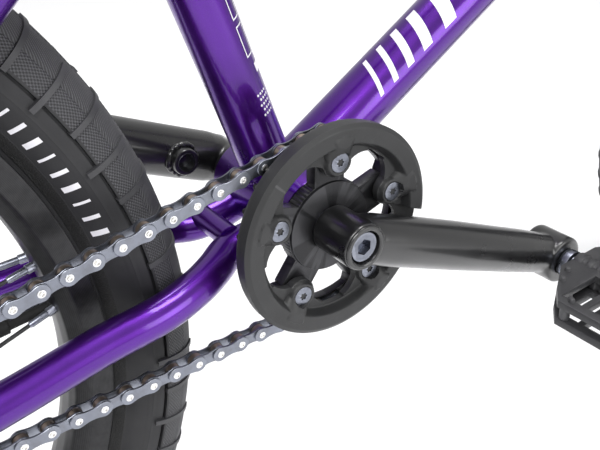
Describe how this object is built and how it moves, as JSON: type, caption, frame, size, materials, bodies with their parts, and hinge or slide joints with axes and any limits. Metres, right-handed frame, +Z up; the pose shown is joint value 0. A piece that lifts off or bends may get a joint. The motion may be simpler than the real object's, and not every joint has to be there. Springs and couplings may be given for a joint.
{
  "type": "bmx bike",
  "caption": "Small-wheeled stunt bicycle: high-rise bars, one-speed chain drive with a guard ring, tubular cranks, platform pedals, low seat, no brakes.",
  "frame": {"origin": "on the ground, midway between the wheel axles, in the bike's centre plane", "axes": "+X forward, +Y to the rider's left, +Z up; the chain is on the right (-Y)"},
  "size_m": [1.4454, 0.7514, 0.9471],
  "materials": {
    "purple_paint": "translucent metallic purple, satin gloss",
    "black_paint": "gloss black paint",
    "crank_paint": "gloss black paint",
    "black_alloy": "black anodised, satin",
    "rim_alloy": "black anodised, brushed",
    "black_nylon": "fine moulded matt",
    "steel": "satin steel",
    "dark_steel": "dark treated steel",
    "chain_steel": "dark plates, bright pins",
    "black_spoke": "black oxide",
    "tyre_rubber": "matt rubber",
    "grip_rubber": "matt rubber",
    "seat_fabric": "woven cover",
    "pedal_plastic": "moulded nylon"
  },
  "bodies": {
    "frame": {"bottom_bracket_shell": "purple_paint", "seat_tube": "purple_paint", "down_tube": "purple_paint", "top_tube": "purple_paint", "head_tube": "purple_paint", "chainstay_right": "purple_paint", "chainstay_left": "purple_paint", "seatstay_right": "purple_paint", "seatstay_left": "purple_paint", "chainstay_bridge": "purple_paint", "seatstay_bridge": "purple_paint", "dropout_right": "purple_paint", "dropout_left": "purple_paint", "bb_bearing_right": "dark_steel", "bb_bearing_left": "dark_steel", "headset_bearing_lower": "dark_steel", "headset_bearing_upper": "dark_steel", "seat_clamp": "black_alloy", "rear_axle": "dark_steel", "rear_nut_right": "steel", "rear_nut_left": "steel", "chain": "chain_steel"},
    "steering": {"steerer": "black_paint", "fork_leg_right": "black_paint", "fork_leg_left": "black_paint", "headset_dust_cap": "black_alloy", "stem_body": "black_alloy", "stem_face_plate": "black_alloy", "handlebar": "black_paint", "grip_right": "grip_rubber", "grip_left": "grip_rubber", "front_axle": "dark_steel", "front_nut_right": "steel", "front_nut_left": "steel"},
    "front_wheel": {"front_tyre": "tyre_rubber", "front_rim": "rim_alloy", "front_hub": "black_alloy", "front_spokes_right": "black_spoke", "front_spokes_left": "black_spoke"},
    "rear_wheel": {"rear_tyre": "tyre_rubber", "rear_rim": "rim_alloy", "rear_hub": "black_alloy", "rear_spokes_right": "black_spoke", "rear_spokes_left": "black_spoke"},
    "driver": {"driver_cog": "dark_steel"},
    "cranks": {"spindle": "steel", "crank_arm_right": "crank_paint", "crank_arm_left": "crank_paint", "sprocket": "black_alloy", "sprocket_guard": "black_nylon", "spindle_bolt_right": "steel", "spindle_bolt_left": "steel", "pedal_axle_right": "steel", "pedal_axle_left": "steel"},
    "pedal_body_right": {"pedal_right": "pedal_plastic"},
    "pedal_body_left": {"pedal_left": "pedal_plastic"},
    "seat_mast": {"seat_post": "black_alloy"},
    "seat": {"seat_shell": "pedal_plastic", "seat_pad": "seat_fabric", "seat_pivot_bolt": "steel"}
  },
  "joints": [
    {"name": "steering_turn", "type": "hinge", "parent": "frame", "child": "steering", "pos_m": [0.35294, 0, 0.56], "axis": [-0.2588, 0, 0.9659], "continuous": true},
    {"name": "front_wheel_spin", "type": "hinge", "parent": "steering", "child": "front_wheel", "pos_m": [0.465, 0, 0.2577], "axis": [0, 1, 0], "continuous": true},
    {"name": "rear_wheel_spin", "type": "hinge", "parent": "frame", "child": "rear_wheel", "pos_m": [-0.465, 0, 0.2577], "axis": [0, 1, 0], "continuous": true},
    {"name": "crank_spin", "type": "hinge", "parent": "frame", "child": "cranks", "pos_m": [-0.13831, 0, 0.29319], "axis": [0, 1, 0], "continuous": true, "deforming": ["chain"]},
    {"name": "driver_spin", "type": "hinge", "parent": "frame", "child": "driver", "pos_m": [-0.465, 0, 0.2577], "axis": [0, 1, 0], "continuous": true},
    {"name": "pedal_right_spin", "type": "hinge", "parent": "cranks", "child": "pedal_body_right", "pos_m": [0.02336, 0, 0.22622], "axis": [0, 1, 0], "continuous": true},
    {"name": "pedal_left_spin", "type": "hinge", "parent": "cranks", "child": "pedal_body_left", "pos_m": [-0.29999, 0, 0.36016], "axis": [0, 1, 0], "continuous": true},
    {"name": "seat_height", "type": "slide", "parent": "frame", "child": "seat_mast", "axis": [-0.3305, 0, 0.9438], "range_m": [-0.04, 0.04]},
    {"name": "seat_tilt", "type": "hinge", "parent": "seat_mast", "child": "seat", "pos_m": [-0.2335, 0, 0.565], "axis": [0, 1, 0], "range_deg": [-12, 15]}
  ],
  "couplings": [
    {"joint": "driver_spin", "follows": "crank_spin", "ratio": 2.7778}
  ]
}
